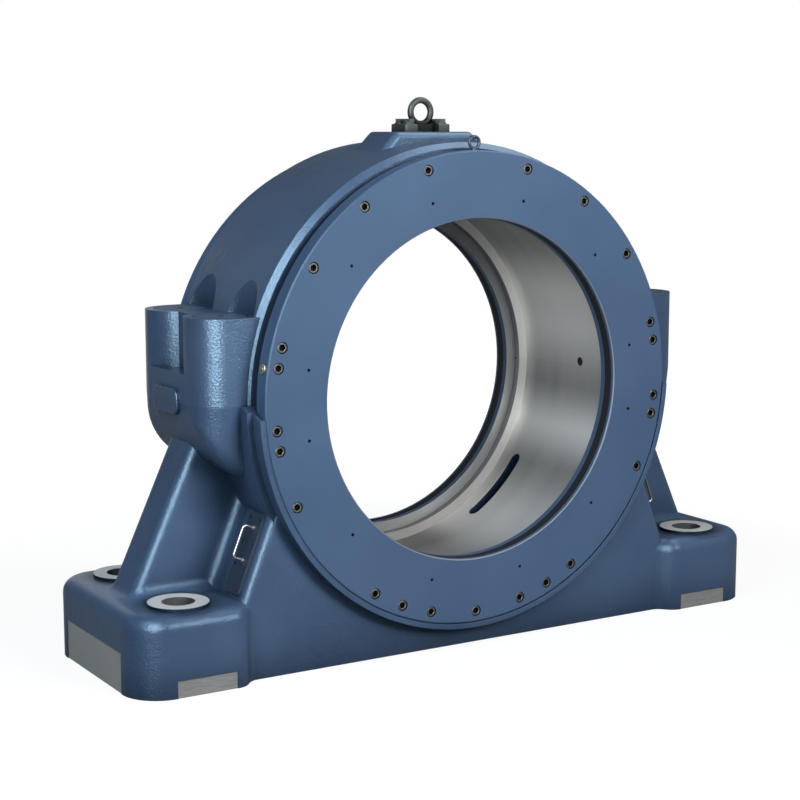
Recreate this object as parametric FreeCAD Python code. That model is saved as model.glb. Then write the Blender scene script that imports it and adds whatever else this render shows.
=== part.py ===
import FreeCAD, Part
import math
import os

# Split plummer block for a very large shaft. X runs along the base, Y along the shaft
# and Z up. The origin is the centre of the underside. All sizes are in millimetres.

# Base casting
centre_height = 965.0
base_length = 2720.0
base_width = 800.0
foot_height = 286.0
foot_corner_radius = 143.0
foot_edge_radius = 50.0
foot_inner_end = 990.0
foot_blend_length = 114.0
wall_width = 690.0
wall_reach_at_foot = 942.0
wall_lean = 21.8
wall_edge_radius = 36.0
rib_thickness = 200.0
rib_reach_at_foot = 1254.0
rib_lean = 24.6
rib_edge_radius = 40.0
root_radius = 45.0
slab_flank_inset = 3.0
wall_top_below_joint = 120.0

# Foot bolt holes and their machined faces
foot_bolt_spacing_x = 2280.0
foot_bolt_spacing_y = 490.0
foot_hole_diameter = 118.0
foot_face_diameter = 216.0
foot_face_height = 10.0
foot_face_root = 30.0
milled_depth = 3.0
end_flat_length = 498.0
end_flat_height = 146.0
side_flat_inner_end = 990.0
side_flat_outer_end = 1216.0
side_flat_height = 61.0

# Bearing seat and the turned rims of the housing
seat_diameter = 1420.0
seat_width = 584.0
shoulder_diameter = 1342.0
housing_rim_width = 636.0
rim_neck_diameter = 1710.0
flange_face_width = 604.0
flange_diameter = 1800.0
flange_edge_chamfer = 20.5
ring_core_diameter = 1000.0
base_drum_diameter = 1826.0
base_drum_width = 680.0
lip_clearance = 1.5
lip_diameter = 1786.0
lip_end_drop = 38.0
lip_end_run = 76.0
lip_end_gap = 2.0
oil_slot_width = 56.0
oil_slot_depth = 95.0
oil_slot_offset = 190.0
oil_slot_from = 125.0
oil_slot_to = 147.0
stop_hole_diameter = 36.0
stop_hole_depth = 60.0
stop_hole_rise = 24.0
stop_hole_offset = -76.0

# Towers that carry the cap bolts
tower_offset_x = 924.0
tower_offset_y = 164.0
tower_radius = 130.0
tower_height = 304.0
tower_root_reach = 250.0
tower_gap_reach = 985.0
web_height = 104.0
bulb_radius = 290.0
bulb_edge_radius = 70.0
bulb_draft = 36.0
tower_front_chamfer = 10.0
groove_width = 23.0
groove_floor = 250.0
groove_root = 11.0
wrench_relief_height = 300.0
cap_bolt_diameter = 90.0
cap_bolt_head_diameter = 135.0
cap_bolt_head_height = 90.0
cap_bolt_thread_depth = 200.0
cap_bolt_end_room = 10.0
cap_bolt_hole_clearance = 3.0
cap_bolt_socket = 70.0
cap_bolt_socket_depth = 45.0
cap_washer_diameter = 155.0
cap_washer_thickness = 12.0
head_room = 12.0
bolt_plug_diameter = 196.0
bolt_plug_thickness = 25.0
plug_seat_step = 16.0
plug_hole_diameter = 22.0
dowel_diameter = 40.0
dowel_length = 140.0
dowel_from_tower_face = 54.0

# Raised pad across the joint, half on each casting
joint_pad_length = 200.0
joint_pad_height = 92.0
joint_pad_rise = 15.0
joint_pad_corner = 34.0
joint_pad_edge_radius = 6.75

# Covers
cover_bore_diameter = 1256.0
cover_diameter = 1743.0
cover_width = 796.0
cover_rim_thickness = 66.0
cover_chamfer = 5.0
gasket_thickness = 2.0
seal_width = 38.0
seal_depth = 12.0
seal_from_face = 16.0
screw_circle_diameter = 1660.0
side_screw_angles = (15.0, 35.0, 55.0, 75.5, 80.5, 95.5, 100.5, 115.3, 148.3, 157.2, 166.2)
small_hole_circle = 1426.0
small_hole_angles = (16.0, 48.0, 80.0, 100.0, 132.0, 164.0)
small_hole_diameter = 12.0
small_hole_depth = 36.0
grease_plug_angle = -81.0
grease_plug_diameter = 38.0
grease_plug_length = 20.0
grease_plug_proud = 6.0
grease_plug_socket = 17.0
grease_plug_socket_depth = 8.0
grease_plug_chamfer = 2.0

# Fasteners and small parts
cover_screw_diameter = 24.0
cover_screw_head_diameter = 36.0
cover_screw_head_height = 24.0
cover_screw_socket = 19.0
cover_screw_socket_depth = 14.4
cover_screw_thread_depth = 48.0
cover_screw_end_room = 12.0
head_clearance = 2.5
thread_clearance = 0.2
hole_clearance = 1.0
running_clearance = 0.5
eyebolt_ring_radius = 21.0
eyebolt_bar_radius = 6.0
eyebolt_ring_height = 27.5
eyebolt_shank_diameter = 12.0
eyebolt_shank_length = 22.0
eyebolt_collar_diameter = 30.0
eyebolt_collar_height = 6.0
eyebolt_end_room = 2.0

# Lifting eye on the crown of the cap
crown_pad_length = 330.0
crown_pad_width = 214.0
crown_pad_height = 937.0
crown_pad_radius = 24.0
crown_pad_root = 60.0
crown_pad_end_slope = 1.0
lug_length = 200.0
lug_width = 110.0
lug_thickness = 29.0
lug_corner = 12.0
lug_edge_radius = 5.0
lug_ring_radius = 44.0
lug_bar_radius = 12.0
lug_ring_height = 73.0
lug_neck_root_radius = 40.0
lug_neck_top_radius = 20.0
lug_neck_height = 25.0
lug_bolt_spacing_x = 140.0
lug_bolt_spacing_y = 62.0
lug_bolt_diameter = 24.0
lug_bolt_flats = 36.0
lug_bolt_head_height = 15.0
lug_bolt_length = 85.0
lug_bolt_end_room = 8.0
bolt_crown_drop = 1.0
lug_washer_diameter = 44.0
lug_washer_thickness = 4.0

# Inspection hatches on the leaning side walls
hatch_length = 292.0
hatch_width = 104.0
hatch_thickness = 8.0
hatch_corner = 14.0
hatch_edge_radius = 2.0
hatch_gasket_thickness = 1.5
hatch_offset_y = 258.0
hatch_rise = 160.0
hatch_opening_length = 236.0
hatch_opening_width = 52.0
hatch_opening_depth = 60.0
hatch_opening_corner = 20.0
handle_length = 119.0
handle_offset_up = 36.0
handle_offset_out = 10.0
handle_standoff = 42.0
handle_bar_radius = 5.0
handle_bend_radius = 14.0
handle_foot_radius = 9.0
handle_foot_height = 4.0

# Worked out from the sizes above
side_angles = [-a for a in reversed(side_screw_angles)] + list(side_screw_angles)
screw_angles = side_angles + [180.0]
half_length = base_length / 2
half_width = base_width / 2
half_wall = wall_width / 2
cover_face = cover_width / 2
cover_back = housing_rim_width / 2 + gasket_thickness
tower_top = centre_height + tower_height
crown_top = centre_height + crown_pad_height
tower_front = tower_offset_y + tower_radius
tower_reach = tower_offset_x + tower_radius
tower_root = tower_offset_x - tower_root_reach
hatch_lean = math.radians(wall_lean)
plug_floor = tower_top - bolt_plug_thickness
washer_floor = plug_floor - head_room - cap_bolt_head_height - cap_washer_thickness

# Small overshoot that lets a cut break through a face cleanly
overshoot = 1.0

V = FreeCAD.Vector
ORIGIN = V(0, 0, 0)
X_AXIS = V(1, 0, 0)
Y_AXIS = V(0, 1, 0)
Z_AXIS = V(0, 0, 1)
BORE_CENTRE = V(0, 0, centre_height)


def box(x0, x1, y0, y1, z0, z1):
    return Part.makeBox(x1 - x0, y1 - y0, z1 - z0, V(x0, y0, z0))


def upright(radius, x, y, z0, z1):
    return Part.makeCylinder(radius, z1 - z0, V(x, y, z0), Z_AXIS)


def along_bore(radius, y0, y1):
    return Part.makeCylinder(radius, y1 - y0, V(0, y0, centre_height), Y_AXIS)


def flat_face(points):
    closed = list(points) + [points[0]]
    return Part.Face(Part.makePolygon(closed))


def profile_along_y(points, y0, y1):
    face = flat_face([V(x, y0, z) for x, z in points])
    return face.extrude(V(0, y1 - y0, 0))


def turned(points, degrees=360.0):
    # Points are (radius, y) pairs, turned about the bore axis.
    face = flat_face([V(r, y, centre_height) for r, y in points])
    return face.revolve(BORE_CENTRE, Y_AXIS, degrees)


def fused(shapes):
    first = shapes[0]
    if len(shapes) == 1:
        return first
    return first.multiFuse(shapes[1:]).removeSplitter()


def one_solid(shape):
    return shape.Solids[0] if len(shape.Solids) == 1 else shape


def both_x(shape):
    return [shape, shape.mirror(ORIGIN, X_AXIS)]


def both_y(shape):
    return [shape, shape.mirror(ORIGIN, Y_AXIS)]


def four_ways(shape):
    return [copy for side in both_x(shape) for copy in both_y(side)]


def polar(radius, angle):
    # Angle from the top of the bore circle, towards +X.
    a = math.radians(angle)
    return radius * math.sin(a), centre_height + radius * math.cos(a)


def rounded_plate(length, width, thickness, corner):
    plate = box(-length / 2, length / 2, -width / 2, width / 2, 0, thickness)
    corners = [e for e in plate.Edges if abs(e.tangentAt(e.FirstParameter).z) > 0.9]
    return plate.makeFillet(corner, corners)


def hex_prism(flats, height, z0=0.0):
    reach = flats / math.sqrt(3)
    ring = [V(reach * math.cos(math.radians(60 * k)), reach * math.sin(math.radians(60 * k)), z0)
            for k in range(6)]
    return flat_face(ring).extrude(V(0, 0, height))


def socket_screw(diameter, head_diameter, head_height, length, socket, socket_depth):
    # Top of the head at z = 0, shank pointing down.
    head = upright(head_diameter / 2, 0, 0, -head_height, 0)
    shank = upright(diameter / 2, 0, 0, -head_height - length, -head_height)
    return head.fuse(shank).removeSplitter().cut(hex_prism(socket, socket_depth, -socket_depth))


def hex_bolt(diameter, flats, head_height, length):
    # Underside of the head at z = 0, shank pointing down.
    head = hex_prism(flats, head_height)
    crown = Part.makeCone(flats / 2 + head_height, flats / 2 - bolt_crown_drop,
                          head_height + bolt_crown_drop, ORIGIN, Z_AXIS)
    shank = upright(diameter / 2, 0, 0, -length, 0)
    return head.common(crown).fuse(shank).removeSplitter()


def into_front(shape, x, z, y):
    # Turns a part that points down so that it points along +Y.
    placed = shape.copy()
    placed.rotate(ORIGIN, X_AXIS, 90)
    placed.translate(V(x, y, z))
    return placed


def foot_outline():
    # One foot seen from above, from the middle of the base to its rounded end.
    inner = half_wall - slab_flank_inset
    rise = half_width - inner
    blend = foot_blend_length
    arc = (blend ** 2 + rise ** 2) / (4 * rise)
    start = foot_inner_end - blend
    turn = 2 * math.atan2(rise, blend)
    c = foot_corner_radius
    diag = math.sqrt(0.5)

    def blend_arc(centre, sign, bearing):
        return V(centre.x + arc * math.sin(bearing), centre.y + sign * arc * math.cos(bearing), 0)

    hollow = V(start, inner + arc, 0)
    crest = V(foot_inner_end, half_width - arc, 0)
    middle = V((start + foot_inner_end) / 2, (inner + half_width) / 2, 0)
    points = [
        Part.LineSegment(V(0, inner, 0), V(start, inner, 0)),
        Part.Arc(V(start, inner, 0), blend_arc(hollow, -1, turn / 2), middle),
        Part.Arc(middle, blend_arc(crest, 1, -turn / 2), V(foot_inner_end, half_width, 0)),
        Part.LineSegment(V(foot_inner_end, half_width, 0), V(half_length - c, half_width, 0)),
        Part.Arc(V(half_length - c, half_width, 0),
                 V(half_length - c + c * diag, half_width - c + c * diag, 0),
                 V(half_length, half_width - c, 0)),
        Part.LineSegment(V(half_length, half_width - c, 0), V(half_length, 0, 0)),
    ]
    quarter = Part.Wire([p.toShape() for p in points])
    half = [quarter, quarter.mirror(ORIGIN, Y_AXIS)]
    whole = half + [w.mirror(ORIGIN, X_AXIS) for w in half]
    edges = [e for w in whole for e in w.Edges]
    return Part.Face(Part.Wire(Part.__sortEdges__(edges)))


def foot_slab():
    slab = foot_outline().extrude(V(0, 0, foot_height))
    rim = [e for e in slab.Edges if min(v.Z for v in e.Vertexes) > foot_height - 1]
    return slab.makeFillet(foot_edge_radius, rim)


def leaning_prism(reach_at_foot, lean, half_thickness, top, edge_radius):
    # A wall or rib whose two ends lean inwards above the feet.
    slope = math.tan(math.radians(lean))
    low = reach_at_foot + slope * foot_height
    high = reach_at_foot - slope * (top - foot_height)
    outline = [(-low, 0), (low, 0), (high, top), (-high, top)]
    prism = profile_along_y(outline, -half_thickness, half_thickness)
    inside = box(-half_length, half_length, -half_width, half_width, 0, top)
    edges = [e for e in prism.Edges
             if abs(abs(e.tangentAt(e.FirstParameter).z) - math.cos(math.radians(lean))) < 1e-6]
    return prism.makeFillet(edge_radius, edges).common(inside)


def tower_outline(half_depth, z):
    # Both towers of a pair seen from above, with round outer corners.
    r = tower_radius
    diag = r * math.sqrt(0.5)
    x = tower_offset_x
    y = half_depth - r
    points = [
        Part.LineSegment(V(tower_root, -half_depth, z), V(x, -half_depth, z)),
        Part.Arc(V(x, -half_depth, z), V(x + diag, -y - diag, z), V(tower_reach, -y, z)),
        Part.LineSegment(V(tower_reach, -y, z), V(tower_reach, y, z)),
        Part.Arc(V(tower_reach, y, z), V(x + diag, y + diag, z), V(x, half_depth, z)),
        Part.LineSegment(V(x, half_depth, z), V(tower_root, half_depth, z)),
        Part.LineSegment(V(tower_root, half_depth, z), V(tower_root, -half_depth, z)),
    ]
    return Part.Wire([p.toShape() for p in points])


def crosses_bulb(edge):
    # Edges where the round underside meets the drafted front, rear and corner faces.
    middle = edge.valueAt((edge.FirstParameter + edge.LastParameter) / 2)
    drop = centre_height - middle.z
    out = middle.x - (tower_reach - bulb_radius)
    on_round = abs(math.hypot(drop, out) - bulb_radius) < 0.5
    return on_round and drop > 5 and abs(middle.y) > tower_offset_y - bulb_draft and out > 1


def bulb_block():
    # Lower half of one pair of towers: drawn in by the mould's draft towards its round underside.
    low = centre_height - bulb_radius
    drafted = Part.makeLoft([tower_outline(tower_front, centre_height),
                             tower_outline(tower_front - bulb_draft, low)], True, True)
    round_y = Part.makeCylinder(bulb_radius, 2 * half_width,
                                V(tower_reach - bulb_radius, -half_width, centre_height), Y_AXIS)
    inner = box(0, tower_reach - bulb_radius, -half_width, half_width, 0, centre_height)
    bulb = drafted.common(round_y.fuse(inner).removeSplitter())
    creases = [e for e in bulb.Edges if crosses_bulb(e)]
    return bulb.makeFillet(bulb_edge_radius, creases)


def tower_block():
    # Upper half of one pair of towers, with the web between them.
    towers = [upright(tower_radius, tower_offset_x, y, centre_height, tower_top)
              for y in (-tower_offset_y, tower_offset_y)]
    back = box(tower_root, tower_offset_x, -tower_front, tower_front, centre_height, tower_top)
    between = box(tower_root, tower_gap_reach, -tower_offset_y, tower_offset_y,
                  centre_height, tower_top)
    web = box(tower_root, tower_reach, -tower_offset_y, tower_offset_y,
              centre_height, centre_height + web_height)
    block = fused(towers + [back, between, web])
    inner = flange_diameter / 2
    r = inner + groove_width
    y = groove_floor
    root = groove_root
    c = tower_front_chamfer
    far = half_width
    for side in (-1, 1):
        groove = turned([(0, side * (y + root)), (inner, side * (y + root)),
                         (inner + root, side * y), (r, side * y), (r, side * (tower_front - c)),
                         (r + c, side * tower_front), (r + c, side * far), (0, side * far)])
        block = block.cut(groove)
    return block


def joint_pad():
    # Plain raised pad on the flat between two towers, centred on the joint.
    pad = rounded_plate(joint_pad_height, joint_pad_length, 2 * joint_pad_rise, joint_pad_corner)
    rim = [e for e in pad.Edges if min(v.Z for v in e.Vertexes) > 2 * joint_pad_rise - 0.1]
    pad = pad.makeFillet(joint_pad_edge_radius, rim)
    pad.rotate(ORIGIN, Y_AXIS, 90)
    pad.translate(V(tower_reach - joint_pad_rise, 0, centre_height))
    return pad


def bearing_space():
    # Everything that is turned out of both castings: the seat and its two shoulders.
    edge = (seat_width / 2, shoulder_diameter / 2)
    far = half_width + overshoot
    return turned([(0, -far), (edge[1], -far), (edge[1], -edge[0]), (seat_diameter / 2, -edge[0]),
                   (seat_diameter / 2, edge[0]), (edge[1], edge[0]), (edge[1], far), (0, far)])


def cap_ring():
    # Upper ring of the housing: a turned barrel with chamfered ends, and a neck inside each cover.
    neck = (rim_neck_diameter / 2, housing_rim_width / 2)
    face = flange_face_width / 2
    chamfer = flange_edge_chamfer
    flange = flange_diameter / 2
    half = [(neck[0], neck[1]), (neck[0], face), (flange - chamfer, face), (flange, face - chamfer)]
    mirrored = [(r, -y) for r, y in reversed(half)]
    core = ring_core_diameter / 2
    return turned([(core, neck[1])] + half + mirrored + [(core, -neck[1])])


def crown_pad():
    low = centre_height + seat_diameter / 2 + crown_pad_root
    half = crown_pad_length / 2
    spread = crown_pad_end_slope * (crown_top - low)
    outline = [(-half - spread, low), (half + spread, low), (half, crown_top), (-half, crown_top)]
    pad = profile_along_y(outline, -crown_pad_width / 2, crown_pad_width / 2)
    edges = [e for e in pad.Edges if max(v.Z for v in e.Vertexes) > crown_top - 1]
    return pad.makeFillet(crown_pad_radius, edges)


def screw_holes(y_face, direction, depth, radius):
    start = y_face if direction > 0 else y_face - depth
    holes = []
    for angle in screw_angles:
        x, z = polar(screw_circle_diameter / 2, angle)
        holes.append(Part.makeCylinder(radius, depth, V(x, start, z), Y_AXIS))
    return holes


def cover_screw_holes():
    # Tapped holes in both end faces of the castings.
    radius = cover_screw_diameter / 2 + thread_clearance
    depth = cover_screw_thread_depth + cover_screw_end_room + overshoot
    face = housing_rim_width / 2
    front = screw_holes(-face - overshoot, 1, depth, radius)
    return front + screw_holes(face + overshoot, -1, depth, radius)


def dowels(clearance=0.0):
    return [upright(dowel_diameter / 2 + clearance, x, 0,
                    centre_height - dowel_length / 2 - clearance,
                    centre_height + dowel_length / 2 + clearance)
            for x in (dowel_from_tower_face - tower_reach, tower_reach - dowel_from_tower_face)]


def tower_axes():
    return [(sx * tower_offset_x, sy * tower_offset_y) for sx in (-1, 1) for sy in (-1, 1)]


def housing_cap():
    cap = fused([cap_ring()] + both_x(tower_block()) + [crown_pad()] + both_x(joint_pad()))
    cap = cap.common(box(-half_length, half_length, -half_width, half_width,
                         centre_height, crown_top + overshoot))
    cuts = [bearing_space()] + cover_screw_holes() + dowels(running_clearance)
    for x, y in tower_axes():
        cuts.append(upright(tower_radius, x, y, tower_top, tower_top + wrench_relief_height))
        cuts.append(upright(bolt_plug_diameter / 2 + running_clearance, x, y, plug_floor, tower_top))
        cuts.append(upright(bolt_plug_diameter / 2 - plug_seat_step, x, y, washer_floor, plug_floor))
        cuts.append(upright(cap_bolt_diameter / 2 + cap_bolt_hole_clearance, x, y,
                            centre_height, washer_floor))
    stop = Part.makeCylinder(stop_hole_diameter / 2, seat_diameter,
                             V(0, stop_hole_offset, centre_height + stop_hole_rise), X_AXIS)
    cuts.append(stop.common(along_bore(seat_diameter / 2 + stop_hole_depth, -half_width, half_width)))
    cuts += lug_bolt_holes()
    return one_solid(cap.cut(cuts))


def oil_slot(offset):
    # A slot milled round the lower part of the seat, with round ends.
    outer = seat_diameter / 2 + oil_slot_depth
    w = oil_slot_width / 2
    ring = turned([(0, offset - w), (outer, offset - w), (outer, offset + w), (0, offset + w)])
    ends = []
    corners = []
    for angle in (oil_slot_from, oil_slot_to):
        x, z = polar(1.0, angle)
        direction = V(x, 0, z - centre_height)
        ends.append(Part.makeCylinder(w, outer, V(0, offset, centre_height), direction))
        corners.append(polar(2 * outer, angle))
    sector = profile_along_y([(0, centre_height), corners[0], corners[1]], offset - w, offset + w)
    return sector.common(ring).fuse(ends)


def on_wall(shape):
    # Places a part drawn flat at the origin on the leaning wall, front left.
    placed = shape.copy()
    placed.rotate(ORIGIN, Y_AXIS, wall_lean - 90)
    along = hatch_rise
    placed.translate(V(-wall_reach_at_foot + along * math.sin(hatch_lean), -hatch_offset_y,
                       foot_height + along * math.cos(hatch_lean)))
    return placed


def milled_flats():
    # Shallow bare flats on the ends and corners of the feet, used to line the base up.
    ends = [box(half_length - milled_depth, half_length + overshoot,
                -end_flat_length / 2, end_flat_length / 2, -overshoot, end_flat_height)]
    sides = [box(side_flat_inner_end, side_flat_outer_end,
                 half_width - milled_depth, half_width + overshoot, -overshoot, side_flat_height)]
    return [c for e in ends for c in both_x(e)] + [c for s in sides for c in four_ways(s)]


def lip_end_cut():
    # The lip round the cover starts with a short slope just below the joint.
    start = flange_face_width / 2 + lip_end_gap
    flat = start + lip_end_run
    z = centre_height
    far = half_width + overshoot
    low = z - lip_end_drop
    outline = [(start, z + overshoot), (start, z), (flat, low), (far, low), (far, z + overshoot)]
    wedge = flat_face([V(-half_length, y, rise) for y, rise in outline])
    return both_y(wedge.extrude(V(base_length, 0, 0)))


def base_casting():
    top = centre_height - wall_top_below_joint
    wall = leaning_prism(wall_reach_at_foot, wall_lean, half_wall, top, wall_edge_radius)
    rib = leaning_prism(rib_reach_at_foot, rib_lean, rib_thickness / 2, top, rib_edge_radius)
    skirt = fused([foot_slab(), wall, rib])
    skirt = skirt.makeFillet(root_radius, root_edges(skirt))
    drum = along_bore(base_drum_diameter / 2, -base_drum_width / 2, base_drum_width / 2)
    lip = along_bore(lip_diameter / 2, -cover_face, cover_face)
    body = fused([skirt, drum, lip] + both_x(bulb_block()) + both_x(joint_pad()))
    lower = box(-half_length, half_length, -half_width, half_width, 0, centre_height)
    return body.common(lower)


def root_edges(skirt):
    # Inner corners where the ribs meet the leaning walls and the tops of the feet.
    chosen = []
    half_rib = rib_thickness / 2
    for e in skirt.Edges:
        ys = [abs(v.Y) for v in e.Vertexes]
        zs = [v.Z for v in e.Vertexes]
        on_rib_side = all(abs(y - half_rib) < 0.5 for y in ys)
        leaning = abs(zs[0] - zs[-1]) > 50
        xs = [abs(v.X) for v in e.Vertexes]
        level = all(abs(z - foot_height) < 0.5 for z in zs)
        if on_rib_side and leaning and max(xs) < wall_reach_at_foot + 1 and max(zs) > foot_height:
            chosen.append(e)
        elif on_rib_side and level:
            chosen.append(e)
    return chosen


def housing_base():
    base = base_casting()
    cuts = [bearing_space()] + cover_screw_holes() + dowels(running_clearance) + lip_end_cut()
    recess = cover_diameter / 2 + lip_clearance
    cuts += both_y(along_bore(recess, housing_rim_width / 2, half_width + overshoot))
    for x, y in tower_axes():
        cuts.append(upright(cap_bolt_diameter / 2 + thread_clearance, x, y,
                            centre_height - cap_bolt_thread_depth - cap_bolt_end_room, centre_height))
    cuts += both_x(oil_slot(oil_slot_offset))
    opening = rounded_plate(hatch_opening_length, hatch_opening_width, hatch_opening_depth,
                            hatch_opening_corner)
    opening.translate(V(0, 0, -hatch_opening_depth))
    cuts += four_ways(on_wall(opening))
    cuts += milled_flats()
    faces = []
    for sx in (-1, 1):
        for sy in (-1, 1):
            x = sx * foot_bolt_spacing_x / 2
            y = sy * foot_bolt_spacing_y / 2
            top = foot_height + foot_face_height
            faces.append(upright(foot_face_diameter / 2, x, y, foot_height - foot_face_root, top))
            cuts.append(upright(foot_hole_diameter / 2, x, y, -overshoot, top + overshoot))
    base = fused([base] + faces)
    return one_solid(base.cut(cuts))


def cover(side):
    # Turned ring that closes one end. side is -1 for the front and 1 for the rear.
    face = cover_face
    back = cover_back
    rim = cover_face - cover_rim_thickness
    inner = cover_bore_diameter / 2
    outer = cover_diameter / 2
    c = cover_chamfer
    neck = rim_neck_diameter / 2
    seal = face - seal_from_face
    points = [(inner + c, face), (outer - c, face), (outer, face - c), (outer, rim), (neck, rim),
              (neck, back), (inner, back), (inner, seal - seal_width),
              (inner + seal_depth, seal - seal_width), (inner + seal_depth, seal),
              (inner, seal), (inner, face - c)]
    ring = turned([(r, side * y) for r, y in points])
    through = cover_screw_diameter / 2 + hole_clearance
    head = cover_screw_head_diameter / 2 + head_clearance
    holes = []
    for angle in screw_angles:
        x, z = polar(screw_circle_diameter / 2, angle)
        start = min(side * back, side * face)
        holes.append(Part.makeCylinder(through, face - back, V(x, start, z), Y_AXIS))
        seat = face - cover_screw_head_height
        holes.append(Part.makeCylinder(head, cover_screw_head_height,
                                       V(x, min(side * seat, side * face), z), Y_AXIS))
    for angle in small_hole_angles:
        for sign in (-1, 1):
            x, z = polar(small_hole_circle / 2, sign * angle)
            start = min(side * face, side * (face - small_hole_depth))
            holes.append(Part.makeCylinder(small_hole_diameter / 2, small_hole_depth,
                                           V(x, start, z), Y_AXIS))
    holes.append(rim_hole(side, 0.0, eyebolt_shank_diameter / 2 + thread_clearance,
                          eyebolt_shank_length + eyebolt_end_room))
    holes.append(rim_hole(side, grease_plug_angle, grease_plug_diameter / 2 + thread_clearance,
                          grease_plug_length - grease_plug_proud))
    return one_solid(ring.cut(holes))


def rim_place(side, angle, depth):
    x, z = polar(cover_diameter / 2 - depth, angle)
    outward = V(math.sin(math.radians(angle)), 0, math.cos(math.radians(angle)))
    return V(x, side * (cover_face - cover_rim_thickness / 2), z), outward


def rim_hole(side, angle, radius, depth):
    start, outward = rim_place(side, angle, depth)
    return Part.makeCylinder(radius, depth + overshoot, start, outward)


def grease_plug(side):
    # Brass plug with a hexagon socket, proud of the rim so that it can be found by hand.
    start, outward = rim_place(side, grease_plug_angle, grease_plug_length - grease_plug_proud)
    body = upright(grease_plug_diameter / 2, 0, 0, 0, grease_plug_length)
    rim = [e for e in body.Edges if e.CenterOfMass.z > grease_plug_length - 0.1]
    body = body.makeChamfer(grease_plug_chamfer, rim)
    socket_floor = grease_plug_length - grease_plug_socket_depth
    plug = body.cut(hex_prism(grease_plug_socket, grease_plug_socket_depth, socket_floor))
    plug.Placement = FreeCAD.Placement(start, FreeCAD.Rotation(Z_AXIS, outward))
    return plug


def gasket(side):
    y = side * housing_rim_width / 2
    inner = shoulder_diameter / 2
    outer = rim_neck_diameter / 2 - hole_clearance
    ring = turned([(inner, y), (outer, y), (outer, side * cover_back), (inner, side * cover_back)])
    start = min(y, side * cover_back)
    holes = screw_holes(start, 1, gasket_thickness, cover_screw_diameter / 2 + hole_clearance)
    return one_solid(ring.cut(holes))


def shaft_seal(side):
    outer_face = side * (cover_face - seal_from_face)
    inner_face = outer_face - side * seal_width
    inner = cover_bore_diameter / 2
    outer = inner + seal_depth
    return turned([(inner, inner_face), (outer, inner_face), (outer, outer_face), (inner, outer_face)])


def cover_screws(side):
    length = cover_face - cover_screw_head_height - housing_rim_width / 2 + cover_screw_thread_depth
    screw = socket_screw(cover_screw_diameter, cover_screw_head_diameter, cover_screw_head_height,
                         length, cover_screw_socket, cover_screw_socket_depth)
    front = []
    for angle in screw_angles:
        x, z = polar(screw_circle_diameter / 2, angle)
        front.append(into_front(screw, x, z, -cover_face))
    group = Part.makeCompound(front)
    return group if side < 0 else group.mirror(ORIGIN, Y_AXIS)


def cover_eyebolt(side):
    # Forged eye screwed into the top of the cover's rim, in line with the shaft's cross plane.
    ring = Part.makeTorus(eyebolt_ring_radius, eyebolt_bar_radius, V(0, 0, eyebolt_ring_height), Y_AXIS)
    collar = upright(eyebolt_collar_diameter / 2, 0, 0, 0.0, eyebolt_collar_height)
    shank = upright(eyebolt_shank_diameter / 2, 0, 0, -eyebolt_shank_length, 0)
    eye = collar.fuse([ring, shank]).removeSplitter()
    rim = centre_height + cover_diameter / 2
    eye.translate(V(0, side * (cover_face - cover_rim_thickness / 2), rim))
    return one_solid(eye)


def cap_bolt(x, y):
    length = washer_floor + cap_washer_thickness - centre_height + cap_bolt_thread_depth
    bolt = socket_screw(cap_bolt_diameter, cap_bolt_head_diameter, cap_bolt_head_height, length,
                        cap_bolt_socket, cap_bolt_socket_depth)
    bolt.translate(V(x, y, washer_floor + cap_washer_thickness + cap_bolt_head_height))
    return bolt


def cap_washer(x, y):
    ring = upright(cap_washer_diameter / 2, x, y, washer_floor, washer_floor + cap_washer_thickness)
    hole = upright(cap_bolt_diameter / 2 + cap_bolt_hole_clearance, x, y, washer_floor,
                   washer_floor + cap_washer_thickness)
    return ring.cut(hole)


def bolt_plug(x, y):
    disc = upright(bolt_plug_diameter / 2, x, y, plug_floor, tower_top)
    return disc.cut(upright(plug_hole_diameter / 2, x, y, plug_floor, tower_top))


def lug_bolt_places():
    x, y = lug_bolt_spacing_x / 2, lug_bolt_spacing_y / 2
    return [(sx * x, sy * y) for sx in (-1, 1) for sy in (-1, 1)]


def lug_bolt_holes():
    depth = lug_bolt_length - lug_thickness - lug_washer_thickness + lug_bolt_end_room
    return [upright(lug_bolt_diameter / 2 + thread_clearance, x, y, crown_top - depth, crown_top)
            for x, y in lug_bolt_places()]


def lifting_eye():
    # Forged eye with a thick rectangular foot, bolted to the crown of the cap.
    foot = rounded_plate(lug_length, lug_width, lug_thickness, lug_corner)
    top = [e for e in foot.Edges if min(v.Z for v in e.Vertexes) > lug_thickness - 0.1]
    foot = foot.makeFillet(lug_edge_radius, top)
    ring = Part.makeTorus(lug_ring_radius, lug_bar_radius, V(0, 0, lug_ring_height), Y_AXIS)
    neck = Part.makeCone(lug_neck_root_radius, lug_neck_top_radius, lug_neck_height, ORIGIN, Z_AXIS)
    eye = foot.fuse([ring, neck]).removeSplitter()
    holes = [upright(lug_bolt_diameter / 2 + hole_clearance, x, y, 0, lug_thickness)
             for x, y in lug_bolt_places()]
    eye = eye.cut(holes)
    eye.translate(V(0, 0, crown_top))
    return one_solid(eye)


def lug_washers():
    washers = []
    z = crown_top + lug_thickness
    for x, y in lug_bolt_places():
        ring = upright(lug_washer_diameter / 2, x, y, z, z + lug_washer_thickness)
        hole = upright(lug_bolt_diameter / 2 + hole_clearance, x, y, z, z + lug_washer_thickness)
        washers.append(ring.cut(hole))
    return Part.makeCompound(washers)


def lug_bolts():
    bolt = hex_bolt(lug_bolt_diameter, lug_bolt_flats, lug_bolt_head_height, lug_bolt_length)
    bolts = []
    for x, y in lug_bolt_places():
        placed = bolt.copy()
        placed.translate(V(x, y, crown_top + lug_thickness + lug_washer_thickness))
        bolts.append(placed)
    return Part.makeCompound(bolts)


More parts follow.
